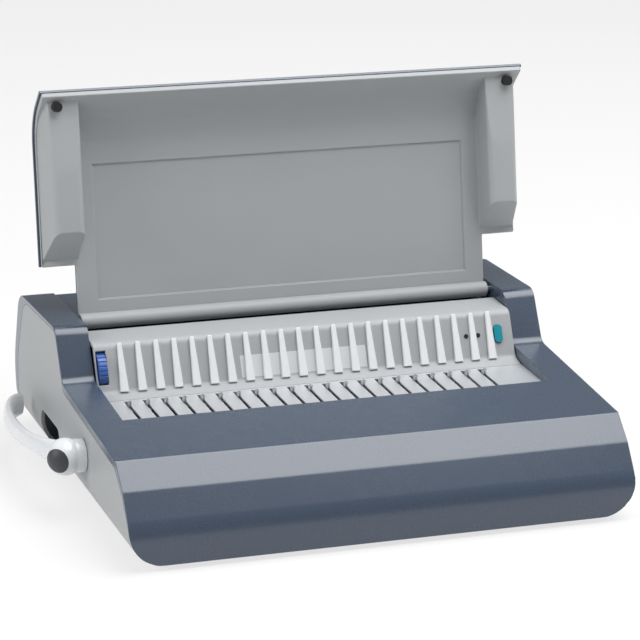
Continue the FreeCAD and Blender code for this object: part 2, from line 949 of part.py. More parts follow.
def button_outline(name, gap, front, back):
    half_width = s.button_width / 2 + gap
    half_length = s.button_length / 2 + gap
    outline = rectangle(
        s.button_place - half_width,
        s.button_place + half_width,
        s.button_height - half_length,
        s.button_height + half_length,
    )
    oval = Piece(name, PLATE).pad("XZ_Plane", outline, front, back)
    return oval.round("XZ_Plane", outline, half_width * 0.95)


def label_and_lenses():
    keep(label_piece("size_label_plate"))
    keep(lens_pieces("indicator_lenses", s.lens_stand))


def comb_fingers():
    foot, tip = s.finger_foot_width / 2, s.finger_tip_width / 2
    outline = [
        (first_finger - foot, 0),
        (first_finger + foot, 0),
        (first_finger + tip, s.finger_length),
        (first_finger - tip, s.finger_length),
    ]
    fingers = Piece("finger_row", PLATE).pad("XZ_Plane", outline, -s.finger_thickness, 0)
    return fingers.row(s.finger_count, s.comb_pitch)


def comb_tray_plate():
    tray = Piece("comb_tray_plate").pad(
        "XY_Plane",
        rectangle(-tray_half, tray_half, -s.tray_reach, -tray_back),
        tray_low,
        s.tray_height,
    )
    half, mouth = s.slot_width / 2, s.slot_mouth_width / 2
    mouth_front = -tray_back - s.slot_mouth_length
    outline = [
        (first_slot - half, -s.slot_reach),
        (first_slot + half, -s.slot_reach),
        (first_slot + half, mouth_front),
        (first_slot + mouth, mouth_front),
        (first_slot + mouth, -tray_back - s.slot_width),
        (first_slot - half, -tray_back - s.slot_width),
    ]
    tray.pocket("XY_Plane", outline, tray_low, s.tray_height)
    keep(tray.row(s.ring_count, s.comb_pitch))


def punch_button():
    """An oval cap with a flange behind the plate that keeps it in."""
    inner = s.plate_wall + s.button_gap
    cap = button_outline("button_cap", as_size(0), -s.button_stand, inner + s.button_flange_thickness)
    flange = button_outline("button_flange", s.button_flange, inner, inner + s.button_flange_thickness)
    keep(fuse("punch_button", cap, flange))


def button_switch():
    """The switch that the button presses, on the face of the die plate."""
    half = s.switch_block_width / 2
    face = s.plate_wall + s.button_flange_thickness + s.button_travel + s.button_gap * 2
    low_back, low = leaning(face, s.button_height - half)
    top_back, top = leaning(face, s.button_height + half)
    corners = [(low_back, low), (top_back, top), (die_front, top), (die_front, low)]
    keep(Piece("button_switch").pad("YZ_Plane", corners, s.button_place - half, s.button_place + half))


# Edge guide

wheel_y, wheel_z = leaning(s.wheel_radius - s.wheel_stand, s.wheel_height)
lead_start = wheel_x + s.wheel_width / 2
near_bracket = -frame_inner + s.wheel_width
far_bracket = near_bracket + s.bracket_span


def edge_wheel():
    """A notched wheel on a plain lead screw."""
    rim = rod("wheel_rim", wheel_y, wheel_z, s.wheel_radius, lead_start - s.wheel_width, lead_start)
    notches = []
    for number in range(SIZES["wheel_notches"]):
        turn = 2 * math.pi * number / SIZES["wheel_notches"]
        y = wheel_y + s.wheel_radius * math.cos(turn)
        z = wheel_z + s.wheel_radius * math.sin(turn)
        notches.append(rod(f"notch_{number}", y, z, s.wheel_notch_radius, -half_body, lead_start))
    screw = rod("lead_screw", wheel_y, wheel_z, s.lead_radius, lead_start, far_bracket + s.bracket_thickness)
    keep(fuse("edge_wheel", cut("wheel_cut", rim, *notches), screw))


def wheel_bracket():
    """Two ears on the die plate that carry the lead screw."""
    ears = []
    for x in (near_bracket, far_bracket):
        ears.append(
            box(
                f"bracket_ear_{len(ears)}",
                (x, x + s.bracket_thickness),
                (wheel_y - s.nut_radius, die_front),
                (wheel_z - s.nut_radius, wheel_z + s.nut_radius),
            )
        )
    bore = rod("bracket_bore", wheel_y, wheel_z, s.lead_radius + s.lead_clear, -frame_inner, -frame_inner / 2)
    keep(cut("wheel_bracket", group("bracket_ears", *ears), bore))


def edge_stop():
    """The nut on the lead screw, its strap over the die plate and the tab in the throat."""
    face = s.stop_inset - frame_inner
    nut_right = face + s.nut_length
    riser_front = wheel_y + s.nut_radius
    riser_rear = riser_front + s.stop_riser
    strap_low = s.die_top + s.tray_gap * 2
    strap_top = strap_low + s.stop_strap
    tab_left = face - s.stop_thickness
    tab = (throat_front + s.tray_gap, throat_rear - s.tray_gap)
    nut_z = (wheel_z - s.nut_radius, wheel_z + s.nut_radius)
    pieces = [
        box("stop_nut", (face, nut_right), (wheel_y - s.nut_radius, riser_rear), nut_z),
        box("stop_riser_bar", (face, nut_right), (riser_front, riser_rear), (wheel_z, strap_top)),
        box("stop_strap_bar", (face, nut_right), (riser_front, throat_front), (strap_low, strap_top)),
        box("stop_arm", (tab_left, face), (riser_front, tab[1]), (strap_low, strap_top)),
        box("stop_tab", (tab_left, face), tab, (hole_height + s.pin_height, strap_top)),
    ]
    bore = rod("stop_bore", wheel_y, wheel_z, s.lead_radius + s.lead_clear, -frame_half, 0)
    keep(cut("edge_stop", fuse("stop_body", *pieces), bore))


# Frame and punch


def frame_plate(name, inner, outer, foot_x, *holes):
    """A steel side plate, bent in at its foot, with the holes for both shafts."""
    corners = [
        (-s.frame_reach, floor_top),
        (s.frame_back, floor_top),
        (s.frame_back, s.frame_rear_height),
        (s.frame_step_back, s.frame_rear_height),
        (s.frame_step_back, s.frame_top_height),
        (s.frame_mid_back, s.frame_top_height),
        (s.frame_mid_back, s.frame_low_height),
        (-s.frame_reach, s.frame_low_height),
    ]
    blank = Piece(name + "_blank").pad("YZ_Plane", corners, inner, outer)
    foot_z = (floor_top, floor_top + s.frame_foot_thickness)
    foot = box(name + "_foot", foot_x, (-s.frame_reach, s.frame_back), foot_z)
    plate = fuse(name + "_bent", blank, foot)
    shafts = []
    for label, y, z in (("lever", -s.lever_reach, s.lever_height), ("drive", s.drive_back, drive_height)):
        shafts.append(rod(f"{name}_{label}", y, z, s.bearing_radius, -half_body, half_body))
    for number, (x, y) in enumerate(screw_places()):
        shafts.append(post(f"{name}_screw_{number}", x, y, s.screw_radius, s.foot_height, s.lever_height / 2))
    keep(cut(name, plate, *shafts, *holes))


def frame_plates():
    foot_inner = frame_inner - s.frame_foot_width
    frame_plate("left_frame_plate", -frame_half, -frame_inner, (-frame_inner, -foot_inner))
    drawer = box(
        "frame_drawer_hole",
        (0, half_body),
        (-s.waste_reach - s.waste_gap, s.waste_back + s.waste_gap),
        (s.waste_low - s.waste_gap, s.waste_top + s.waste_gap),
    )
    frame_plate("right_frame_plate", frame_inner, frame_half, (foot_inner, frame_inner), drawer)


def pierced_plate(name, front, rear, clear):
    outline = rectangle(-frame_inner, frame_inner, s.die_low, s.die_top)
    plate = Piece(name).pad("XZ_Plane", outline, front, rear)
    half_width = s.pin_width / 2 + clear
    half_height = s.pin_height / 2 + clear
    hole = rectangle(
        first_ring - half_width,
        first_ring + half_width,
        hole_height - half_height,
        hole_height + half_height,
    )
    plate.pocket("XZ_Plane", hole, front, rear)
    keep(plate.row(s.ring_count, s.comb_pitch))


def throat():
    pierced_plate("die_plate", die_front, throat_front, s.die_clear)
    pierced_plate("stripper_plate", throat_rear, stripper_rear, s.pin_clear)
    across = (-frame_inner, frame_inner)
    keep(box("paper_stop_bar", across, (throat_front, throat_rear), (s.die_low, s.paper_stop_height)))


def punch_pins():
    half = s.pin_width / 2
    pin = rectangle(
        first_ring - half,
        first_ring + half,
        hole_height - s.pin_height / 2,
        hole_height + s.pin_height / 2,
    )
    pins = Piece("punch_pins").pad("XZ_Plane", pin, throat_rear + s.pin_setback, bar_front)
    keep(pins.row(s.ring_count, s.comb_pitch))


def punch_bar():
    half = frame_inner - s.slide_gap
    keep(box("punch_bar", (-half, half), (bar_front, bar_rear), (bar_low, bar_top)))


def bar_guides():
    """Rails on the frame plates that the ends of the punch bar slide on."""
    top = bar_low - s.slide_gap
    y = (stripper_rear, stripper_rear + s.bar_guide_length)
    keep(group("bar_guides", *rail_pair("bar_guide", y, (top - s.bar_guide_height, top))))


def rail_pair(name, y, z):
    """A rail along each frame plate."""
    sides = ((-frame_inner, -frame_inner + s.guide_width), (frame_inner - s.guide_width, frame_inner))
    return [box(f"{name}_{number}", x, y, z) for number, x in enumerate(sides)]


# Gears


def involute(angle):
    return math.tan(angle) - angle


def gear_shape(module, teeth, backlash, width, bore, centre, turn):
    """A spur gear along X from its centre; one tooth points at angle turn, from +Y towards +Z."""
    pressure = math.radians(20)
    pitch = module * teeth / 2
    base, tip, root = pitch * math.cos(pressure), pitch + module, pitch - 1.25 * module
    half_tooth = math.pi / (2 * teeth) - backlash / (2 * pitch)

    def point(radius, angle):
        return centre + FreeCAD.Vector(0, radius * math.cos(angle), radius * math.sin(angle))

    def flank(radius):
        if radius <= base:
            return half_tooth + involute(pressure)
        return half_tooth + involute(pressure) - involute(math.acos(base / radius))

    low = max(base, root)
    middle = (low + tip) / 2
    edges = []
    for number in range(teeth):
        tooth = turn + 2 * math.pi * number / teeth
        following = tooth + 2 * math.pi / teeth
        rise = [point(radius, tooth - flank(radius)) for radius in (low, middle, tip)]
        fall = [point(radius, tooth + flank(radius)) for radius in (tip, middle, low)]
        start = point(root, tooth - flank(low))
        end = point(root, tooth + flank(low))
        valley = point(root, (tooth + following) / 2)
        last = point(root, following - flank(low))
        if root < base:
            edges.append(Part.LineSegment(start, rise[0]).toShape())
        edges.append(Part.Arc(*rise).toShape())
        edges.append(Part.Arc(rise[2], point(tip, tooth), fall[0]).toShape())
        edges.append(Part.Arc(*fall).toShape())
        if root < base:
            edges.append(Part.LineSegment(fall[2], end).toShape())
        edges.append(Part.Arc(end, valley, last).toShape())
    axis = FreeCAD.Vector(1, 0, 0)
    blank = Part.Face(Part.Wire(edges)).extrude(axis * width)
    return blank.cut(Part.makeCylinder(bore, width, centre, axis))


def gear(name, module, teeth, bore, y, z, starts, turn):
    """One gear, or a pair of equal gears on one shaft, each from its own X start."""
    wheels = []
    for start in starts:
        centre = FreeCAD.Vector(start.value, y.value, z.value)
        width = s.gear_width.value
        backlash = s.tooth_backlash.value
        wheels.append(gear_shape(module.value, int(teeth.value), backlash, width, bore.value, centre, turn))
    return shaped(name, Part.Compound(wheels) if len(wheels) > 1 else wheels[0])


def rack_shape(module, backlash, gap_y, pitch_z, back_z, low_y, high_y, low_x, width):
    """A rack with its teeth down; one gap between teeth lies at gap_y."""
    step = math.pi * module
    slope = math.tan(math.radians(20))
    half_tip = step / 4 - backlash / 2 - module * slope
    half_root = step / 4 - backlash / 2 + 1.25 * module * slope
    tip_z, root_z = pitch_z - module, pitch_z + 1.25 * module
    points = [(low_y, back_z), (low_y, root_z)]
    centre = gap_y + step * (math.ceil((low_y + half_root - gap_y) / step - 0.5) + 0.5)
    while centre + half_root < high_y:
        points.append((centre - half_root, root_z))
        points.append((centre - half_tip, tip_z))
        points.append((centre + half_tip, tip_z))
        points.append((centre + half_root, root_z))
        centre += step
    points += [(high_y, root_z), (high_y, back_z)]
    outline = [FreeCAD.Vector(low_x, y, z) for y, z in points]
    face = Part.Face(Part.makePolygon(outline + outline[:1]))
    return face.extrude(FreeCAD.Vector(width, 0, 0))


def rack_pair(name, module, place, gap_y, pitch_z, back_z, low_y, high_y):
    racks = []
    for x in (-place, place):
        racks.append(
            rack_shape(
                module.value,
                s.tooth_backlash.value,
                gap_y.value,
                pitch_z.value,
                back_z.value,
                low_y.value,
                high_y.value,
                (x - s.gear_width / 2).value,
                s.gear_width.value,
            )
        )
    return shaped(name, Part.Compound(racks))


UP = math.pi / 2


def punch_drive():
    """The shaft behind the punch bar, its two pinions and racks, and the gear that the motor turns."""
    starts = [-s.punch_rack_place - s.gear_width / 2, s.punch_rack_place - s.gear_width / 2]
    module, bore = s.punch_module, s.drive_radius
    keep(gear("punch_pinions", module, s.punch_teeth, bore, s.drive_back, drive_height, starts, UP))
    rack_top = punch_pitch_height + 1.25 * s.punch_module + s.rack_back
    rack_rear = bar_rear + s.punch_rack_length
    keep(
        rack_pair(
            "punch_racks",
            s.punch_module,
            s.punch_rack_place,
            s.drive_back,
            punch_pitch_height,
            rack_top,
            bar_rear,
            rack_rear,
        )
    )
    keep(rod("drive_shaft", s.drive_back, drive_height, s.drive_radius, -frame_half, frame_half))
    line = -math.radians(s.motor_angle.value)
    keep(
        gear(
            "drive_gear",
            s.drive_module,
            s.drive_teeth,
            s.drive_radius,
            s.drive_back,
            drive_height,
            [s.drive_gear_place],
            line,
        )
    )
    half_step = math.pi / SIZES["motor_teeth"]
    wheel = gear(
        "motor_pinion_gear",
        s.drive_module,
        s.motor_teeth,
        s.motor_shaft_radius,
        motor_back,
        motor_height,
        [s.drive_gear_place],
        line + math.pi + half_step,
    )
    shaft_end = s.drive_gear_place + s.gear_width + s.pinion_gap + s.gearbox_length / 2
    radius = s.motor_shaft_radius
    shaft = rod("motor_pinion_shaft", motor_back, motor_height, radius, s.drive_gear_place, shaft_end)
    keep(fuse("motor_pinion", wheel, shaft))


def bearings(name, y, z, radius):
    """Flanged bushes in both frame plates."""
    bushes = []
    rim = frame_half + s.bearing_flange
    for side, low, high in (("left", -rim, -frame_inner), ("right", frame_inner, rim)):
        flange_x = (low, -frame_half) if side == "left" else (frame_half, high)
        sleeve = rod(f"{name}_{side}_sleeve", y, z, s.bearing_radius, low, high)
        flange = rod(f"{name}_{side}_flange", y, z, s.bearing_flange_radius, *flange_x)
        bushes.append(fuse(f"{name}_{side}", sleeve, flange))
    bore = rod(f"{name}_bore", y, z, radius + s.shaft_clear, -half_body, half_body)
    keep(cut(name, group(f"{name}_pair", *bushes), bore))


def motor():
    start = s.drive_gear_place + s.gear_width + s.pinion_gap
    end = start + s.gearbox_length
    low = motor_height - s.gearbox_half_height
    depth = (motor_back - s.gearbox_front, motor_back + s.gearbox_rear)
    case = box("gearbox_case", (start, end), depth, (low, motor_height + s.gearbox_half_height))
    bore = rod("gearbox_bore", motor_back, motor_height, s.motor_shaft_radius + s.shaft_clear, start, end)
    keep(cut("gearbox", case, bore))
    keep(rod("motor_can", motor_back, motor_height, s.motor_radius, end, end + s.motor_length))
    keep(box("motor_mount", (start, end), depth, (floor_top, low)))


# Lever and hooks


def lever_section(name, out, along, drop, tall, thick, heading):
    """One oval section of the lever's arm, square to its heading in plan."""
    turn = math.radians(heading)
    forward = FreeCAD.Vector(-math.sin(turn), math.cos(turn), 0)
    up = FreeCAD.Vector(0, 0, 1)
    item = doc.addObject("Part::Ellipse", name)
    bind(item, "MajorRadius", tall)
    bind(item, "MinorRadius", thick)
    item.Placement.Rotation = FreeCAD.Rotation(up, forward.cross(up), forward, "ZXY")
    place = (-half_body - out, along - s.lever_reach, s.lever_height - drop)
    for axis, start, offset in zip("xyz", BODY.origin, place):
        bind(item, f"Placement.Base.{axis}", start + offset)
    return item


def lever_arm():
    """A slim arm that bows outward and turns in to a paddle at its end."""
    length, drop, stand = s.lever_arm_length, s.lever_arm_drop, s.lever_stand
    elbow = s.lever_elbow_out
    thin = s.lever_hub_radius * 0.32
    tall = s.lever_hub_radius * 0.52
    stations = [
        (elbow, length * 0.02, drop * 0, tall * 1.7, thin * 2.1, 20),
        (elbow + (stand - elbow) * 0.42, length * 0.15, drop * 0.12, tall * 1.25, thin * 1.4, 22),
        (stand - thin * 1.25, length * 0.38, drop * 0.55, tall, thin, 6),
        (stand - thin * 1.05, length * 0.64, drop * 0.95, tall * 1.1, thin, -5),
        (stand - thin * 1.7, length * 0.84, drop, tall * 1.35, thin * 1.05, -24),
        (stand - thin * 3.8, length * 0.96, drop, tall * 1.5, thin * 1.1, -52),
        (stand - thin * 5.6, length * 0.995, drop, tall * 1.35, thin * 0.9, -66),
    ]
    loft = doc.addObject("Part::Loft", "lever_arm")
    loft.Sections = [lever_section(f"arm_{index}", *station) for index, station in enumerate(stations)]
    loft.Solid = True
    return loft


def cap_rod(name, radius, near, far):
    """A cylinder out of the elbow's corner, between the shaft's line and the arm."""
    angle = math.radians(s.cap_angle.value)
    facing = FreeCAD.Vector(-math.cos(angle), -math.sin(angle), 0)
    item = doc.addObject("Part::Cylinder", name)
    bind(item, "Radius", radius)
    bind(item, "Height", far - near)
    item.Placement.Rotation = FreeCAD.Rotation(FreeCAD.Vector(0, 0, 1), facing)
    place = (
        -half_body - s.lever_elbow_out - near * cosine(s.cap_angle),
        -s.lever_reach - near * sine(s.cap_angle),
        s.lever_height,
    )
    for axis, start, offset in zip("xyz", BODY.origin, place):
        bind(item, f"Placement.Base.{axis}", start + offset)
    return item


def elbow_ball(name, radius):
    ball = doc.addObject("Part::Sphere", name)
    bind(ball, "Radius", radius)
    place = (-half_body - s.lever_elbow_out, -s.lever_reach, s.lever_height)
    for axis, start, offset in zip("xyz", BODY.origin, place):
        bind(ball, f"Placement.Base.{axis}", start + offset)
    return ball


def lever():
    """The handle with its cap, the shaft across the machine and the two pinions under the hook bar."""
    elbow_x = -half_body - s.lever_elbow_out
    y, z = -s.lever_reach, s.lever_height
    hub = rod("lever_hub", y, z, s.lever_hub_radius, elbow_x, -half_body - s.lever_gap)
    handle = fuse("lever_handle", hub, elbow_ball("lever_elbow", s.lever_elbow_radius), lever_arm())
    seat = cap_rod("cap_seat_tool", s.cap_radius, s.cap_seat, s.lever_elbow_radius * 2)
    shaft_tool = rod("lever_shaft_tool", y, z, s.lever_radius, elbow_x, -bay_half)
    keep(cut("comb_lever", handle, seat, shaft_tool))
    cap = cap_rod("cap_rod", s.cap_radius, s.cap_seat, s.lever_elbow_radius * 2)
    keep(common("lever_cap", cap, elbow_ball("cap_dome", s.lever_elbow_radius)))
    keep(rod("lever_shaft", y, z, s.lever_radius, elbow_x, frame_half))
    starts = [-s.hook_rack_place - s.gear_width / 2, s.hook_rack_place - s.gear_width / 2]
    keep(gear("lever_pinions", s.hook_module, s.hook_teeth, s.lever_radius, y, z, starts, UP))


def hook_bar():
    """A strip under the tray with a hook for each ring, on two racks."""
    low, high = hook_rack_top, hook_rack_top + s.hook_bar_thickness
    half_depth = s.hook_bar_depth / 2
    bar = Piece("hook_bar").pad(
        "XY_Plane",
        rectangle(
            -s.hook_bar_width / 2,
            s.hook_bar_width / 2,
            -s.hook_bar_reach - half_depth,
            -s.hook_bar_reach + half_depth,
        ),
        low,
        high,
    )
    half_hook = s.hook_depth / 2
    top = s.tray_height + s.hook_stand
    hook = [
        (-s.hook_bar_reach - half_hook, low + s.hook_bar_thickness / 2),
        (-s.hook_bar_reach + half_hook, low + s.hook_bar_thickness / 2),
        (-s.hook_bar_reach + half_hook, top - s.hook_nose),
        (-s.hook_bar_reach, top),
        (-s.hook_bar_reach - half_hook - s.hook_nose, top),
        (-s.hook_bar_reach - half_hook, top - s.hook_nose),
    ]
    bar.pad("YZ_Plane", hook, first_slot - s.hook_thickness / 2, first_slot + s.hook_thickness / 2)
    keep(bar.row(s.ring_count, s.comb_pitch))
    keep(
        rack_pair(
            "hook_racks",
            s.hook_module,
            s.hook_rack_place,
            -s.lever_reach,
            hook_pitch_height,
            hook_rack_top,
            -s.lever_reach - s.hook_rack_front,
            -s.lever_reach + s.hook_rack_rear,
        )
    )


def hook_guides():
    """Rails on the frame plates that the ends of the hook bar slide on."""
    top = hook_rack_top - s.slide_gap
    y = (-s.guide_reach, -s.hook_bar_reach + s.hook_bar_depth)
    keep(group("hook_guides", *rail_pair("hook_guide", y, (top - s.guide_height, top))))


# Lid, in its own leaning frame: y runs out of its back, z runs up from the hinge

skin_in = s.lid_out - s.lid_skin
roll_end_y = s.lid_out - s.lid_roll_length * sine(s.lid_roll_angle)
roll_end_z = s.lid_roll_start + s.lid_roll_length * cosine(s.lid_roll_angle)
stem_half = s.stem_width / 2


def roll_at(depth):
    """Bend and end of the lid's section at a depth below its outer face."""
    bend = (s.lid_out - depth, s.lid_roll_start - depth * tangent(s.lid_roll_angle / 2))
    end = (roll_end_y - depth * cosine(s.lid_roll_angle), roll_end_z - depth * sine(s.lid_roll_angle))
    return bend, end


def rolled_sheet(name, near, far, low, half_width):
    """A sheet of the lid's section between two depths, narrowed to the stem at its foot."""
    near_bend, near_end = roll_at(near)
    far_bend, far_end = roll_at(far)
    corners = [(s.lid_out - near, low), near_bend, near_end, far_end, far_bend, (s.lid_out - far, low)]
    sheet_piece = Piece(name, LID).pad("YZ_Plane", corners, -half_width, half_width)
    sheet_piece.round("YZ_Plane", [near_bend], s.lid_roll_round - near)
    sheet_piece.round("YZ_Plane", [far_bend], s.lid_roll_round - far)
    for side in ((-half_width, -stem_half), (stem_half, half_width)):
        shoulder = rectangle(*side, low, s.stem_height)
        sheet_piece.pocket("XZ_Plane", shoulder, s.lid_out - far, s.lid_out - near)
    return sheet_piece


def lid_shell():
    keep(rolled_sheet("lid_shell", as_size(0), s.lid_skin, s.lid_skin_low, half_body))


def ear_corners(side, inset, front):
    inner = side * (s.ear_inner + inset)
    outer = side * (half_body - s.ear_inset - inset)
    return [(inner, skin_in), (inner, front), (outer - side * s.ear_draft, front), (outer, skin_in)]


def lid_ear(name, side):
    """An ear that closes the end of the comb bay when the lid is down."""
    corners = ear_corners(side, as_size(0), -s.ear_depth)
    ear = Piece(name, LID).pad("XY_Plane", corners, s.stem_height + s.bay_gap, roll_end_z)
    return ear.round("XY_Plane", corners[1:3], s.ear_round)


def ear_hollow(name, side):
    """The room inside an ear, open to the skin behind it."""
    corners = ear_corners(side, s.ear_wall, -s.ear_depth + s.ear_taper + s.ear_wall)
    return Piece(name, LID).pad("XY_Plane", corners, s.stem_height + s.ear_cut, s.liner_top)


def ear_tools():
    """What trims both ears: the skin behind, the slope at the foot and the taper in front."""
    bend, end = roll_at(s.lid_skin)
    beyond = -s.ear_depth - s.lid_skin
    inside_corners = [(beyond, 0), (skin_in, 0), bend, end, (beyond, end[1])]
    inside = Piece("ears_inside_skin", LID).pad("YZ_Plane", inside_corners, -half_body, half_body)
    inside.round("YZ_Plane", [bend], s.lid_roll_round - s.lid_skin)
    foot_corners = [
        (s.lid_out, s.stem_height),
        (beyond, s.stem_height + s.ear_cut + s.lid_skin),
        (beyond, 0),
        (s.lid_out, 0),
    ]
    foot = Piece("ear_foot_cut", LID).pad("YZ_Plane", foot_corners, -half_body, half_body)
    tip = -s.ear_depth + s.ear_taper
    taper_corners = [
        (-s.ear_depth, s.ear_taper_start),
        (tip, s.bumper_height),
        (tip, roll_end_z),
        (beyond, roll_end_z),
        (beyond, s.ear_taper_start),
    ]
    taper = Piece("ear_taper_cut", LID).pad("YZ_Plane", taper_corners, -half_body, half_body)
    return inside, foot, taper


def lid_liner():
    """The light inside of the lid: a sheet under the skin on the hinge barrel, with two ears."""
    depth = s.lid_skin + s.liner_thickness
    plate = rolled_sheet("liner_sheet", s.lid_skin, depth, as_size(0), half_body - s.ear_inset)
    panel_half = stem_half - s.liner_border
    panel = rectangle(-panel_half, panel_half, s.liner_border, s.liner_top - s.liner_border)
    front = s.lid_out - depth
    plate.pocket("XZ_Plane", panel, front, front + s.liner_recess)
    inside, foot, taper = ear_tools()
    ears = fuse("lid_ears", lid_ear("left_ear", -1), lid_ear("right_ear", 1))
    trimmed = cut("ears_trimmed", common("ears_inside", ears, inside), foot, taper)
    barrel = Piece("lid_barrel", LID).pad("YZ_Plane", circle(0, 0, s.barrel_radius), -stem_half, stem_half)
    whole = fuse("liner_whole", plate, trimmed, barrel)
    bore = circle(0, 0, s.hinge_pin_radius + s.hinge_clear)
    tools = []
    for ends in ((-stem_half, -stem_half + s.hinge_pin_depth), (stem_half - s.hinge_pin_depth, stem_half)):
        tools.append(Piece(f"barrel_bore_{len(tools)}", LID).pad("YZ_Plane", bore, *ends))
    for side in (-1, 1):
        tools.append(bumper(f"bumper_seat_{side}", side))
        tools.append(ear_hollow(f"ear_hollow_{side}", side))
    keep(cut("lid_liner", whole, *tools))


def bumper(name, side):
    face = -s.ear_depth + s.ear_taper
    shape = circle(side * s.bumper_place, s.bumper_height, s.bumper_radius)
    return Piece(name, LID).pad("XZ_Plane", shape, face - s.bumper_stand, face + s.bumper_seat)


def lid_bumpers():
    keep(group("lid_bumpers", bumper("left_bumper", -1), bumper("right_bumper", 1)))


def hinge_pins():
    """Pins fast in the cheek walls, with their free ends in the lid's barrel."""
    pins = []
    free_end = stem_half - s.hinge_pin_depth + s.bay_gap
    fast_end = bay_half + s.wall * 2
    for ends in ((-fast_end, -free_end), (free_end, fast_end)):
        pins.append(rod(f"hinge_pin_{len(pins)}", s.hinge_back, s.hinge_height, s.hinge_pin_radius, *ends))
    keep(group("hinge_pins", *pins))


# Waste tray


def waste_tray():
    """A long open box that slides out to the right, with a face in the side panel."""
    right = half_body - s.wall
    left = right - s.waste_length
    across = (-s.waste_reach, s.waste_back)
    body = box("waste_body", (left, half_body), across, (s.waste_low, s.waste_top))
    hollow = box(
        "waste_hollow",
        (left + s.waste_wall, right - s.waste_wall),
        (-s.waste_reach + s.waste_wall, s.waste_back - s.waste_wall),
        (s.waste_low + s.waste_wall, ABOVE),
    )
    middle = (s.waste_back - s.waste_reach) / 2
    half = s.waste_grip_length / 2
    grip = box(
        "waste_grip",
        (right, BESIDE),
        (middle - half, middle + half),
        (s.waste_top - s.waste_grip_height, s.waste_top),
    )
    keep(cut("waste_tray", body, hollow, grip))


def tray_runners():
    """Rails on the base pan that carry the waste tray."""
    runners = []
    half = frame_inner - s.frame_foot_width - s.bay_gap
    for y in (-s.waste_reach, s.waste_back - s.runner_width):
        z = (floor_top, s.waste_low - s.slide_gap)
        runners.append(box(f"runner_{len(runners)}", (-half, half), (y, y + s.runner_width), z))
    keep(group("tray_runners", *runners))


# Mains side


def mains_inlet():
    """An appliance inlet: a shrouded socket with three blades."""
    rear = s.mains_face_back
    case = box("inlet_case", inlet_x(0), (rear - s.inlet_depth, rear), inlet_z(0))
    half = s.inlet_socket_width / 2
    low = s.inlet_low + (s.inlet_height - s.inlet_socket_height) / 2
    socket = box(
        "inlet_socket",
        (-s.inlet_place - half, -s.inlet_place + half),
        (rear - s.inlet_socket_depth, rear + s.wall),
        (low, low + s.inlet_socket_height),
    )
    blades = []
    middle = s.inlet_low + s.inlet_height / 2
    for step, rise in ((-1, 0), (0, 1), (1, 0)):
        x = step * s.inlet_blade_spacing - s.inlet_place
        z = middle + rise * s.inlet_blade_height / 2 - s.inlet_blade_height / 4
        blades.append(
            box(
                f"inlet_blade_{len(blades)}",
                (x - s.inlet_blade_width / 2, x + s.inlet_blade_width / 2),
                (rear - s.inlet_socket_depth, rear - s.inlet_socket_depth / 4),
                (z - s.inlet_blade_height / 2, z + s.inlet_blade_height / 2),
            )
        )
    keep(fuse("mains_inlet", cut("inlet_shroud", case, socket), *blades))


def power_switch():
    """A frame in the rear wall with a rocker that turns about X."""
    rear = s.mains_face_back
    front = rear - s.switch_depth
    case = box("switch_case", switch_x(0), (front, rear), inlet_z(0))
    inner_x = switch_x(-s.switch_wall)
    inner_z = inlet_z(-s.switch_wall)
    hollow = box("switch_hollow", inner_x, (front + s.switch_wall, rear + s.wall), inner_z)
    middle = s.inlet_low + s.inlet_height / 2
    pivot = rear - s.rocker_pivot_depth
    axle = rod("rocker_axle", pivot, middle, s.switch_wall / 2, *inner_x)
    keep(fuse("switch_frame", cut("switch_shroud", case, hollow), axle))
    half = s.inlet_height / 2 - s.switch_wall - s.rocker_swing
    belly = pivot - s.switch_wall
    rocker_x = switch_x(-s.switch_wall - s.rocker_gap)
    rocker = Piece("rocker_blank").pad(
        "YZ_Plane",
        [
            (belly, middle - half / 2),
            (rear - s.rocker_tilt, middle - half),
            (rear, middle - half),
            (rear - s.rocker_tilt, middle),
            (rear - s.rocker_tilt, middle + half),
            (rear - s.rocker_tilt * 2, middle + half),
            (belly, middle + half / 2),
        ],
        *rocker_x,
    )
    bore = rod("rocker_bore", pivot, middle, s.switch_wall / 2 + s.shaft_clear, *rocker_x)
    keep(cut("power_rocker", rocker, bore))


def electrics():
    half = s.transformer_width / 2
    half_depth = s.transformer_depth / 2
    keep(
        box(
            "transformer",
            (-s.transformer_place - half, -s.transformer_place + half),
            (s.transformer_back - half_depth, s.transformer_back + half_depth),
            (floor_top, floor_top + s.transformer_height),
        )
    )
    left = -s.board_place - s.board_width / 2
    right = left + s.board_width
    face = s.board_back - s.board_thickness
    low, top = floor_top, floor_top + s.board_height
    keep(box("circuit_board", (left, right), (face, s.board_back), (low, top)))
    pieces = []
    for number in range(2):
        x = left + s.relay_gap + number * (s.relay_size + s.relay_gap)
        z = (low + s.relay_gap, low + s.relay_gap + s.relay_size)
        pieces.append(box(f"relay_{number}", (x, x + s.relay_size), (face - s.relay_size, face), z))
    for number in range(2):
        x = right - s.relay_gap - s.capacitor_radius - number * (s.capacitor_radius * 2 + s.relay_gap)
        shape = circle(x, low + s.relay_gap + s.capacitor_radius, s.capacitor_radius)
        can = Piece(f"capacitor_{number}").pad("XZ_Plane", shape, face - s.capacitor_length, face)
        pieces.append(can)
    keep(group("board_components", *pieces))


front_cover()
rear_cover()
side_panels()
hand_hold_liner()
base_pan()
case_screws()
rubber_feet()
comb_back_plate()
label_and_lenses()
comb_tray_plate()
punch_button()
button_switch()
edge_wheel()
wheel_bracket()
edge_stop()
frame_plates()
throat()
punch_pins()
punch_bar()
bar_guides()
punch_drive()
bearings("drive_bearings", s.drive_back, drive_height, s.drive_radius)
motor()
lever()
bearings("lever_bushes", -s.lever_reach, s.lever_height, s.lever_radius)
hook_bar()
hook_guides()
lid_shell()
lid_liner()
lid_bumpers()
hinge_pins()
waste_tray()
tray_runners()
mains_inlet()
power_switch()
electrics()

